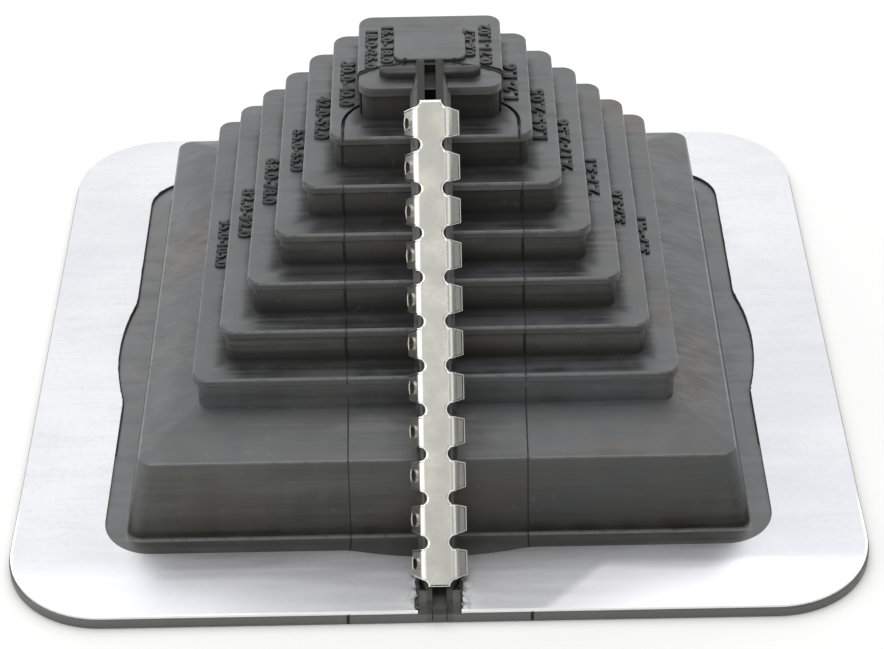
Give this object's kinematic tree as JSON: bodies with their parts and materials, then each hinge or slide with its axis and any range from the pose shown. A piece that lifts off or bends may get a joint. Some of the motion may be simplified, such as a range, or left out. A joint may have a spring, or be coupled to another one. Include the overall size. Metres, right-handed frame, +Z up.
{
  "type": "pipe flashing boot",
  "caption": "Square stepped rubber boot that seals a pipe through a roof, split down the front, with an aluminium ring on its flange and a notched metal strip closing the split.",
  "frame": {"origin": "middle of the underside of the base flange, in the plane of the roof", "axes": "+Z up, away from the roof; the closure lips and their strip run down the -Y side"},
  "size_m": [0.2032, 0.2032, 0.0951],
  "materials": {
    "rubber": "satin moulded rubber",
    "aluminium": "bright mill sheet",
    "stainless": "dull rolled sheet"
  },
  "bodies": {
    "root": {"rubber_boot": "rubber", "aluminium_base_ring": "aluminium", "closure_clip": "stainless"}
  },
  "joints": []
}
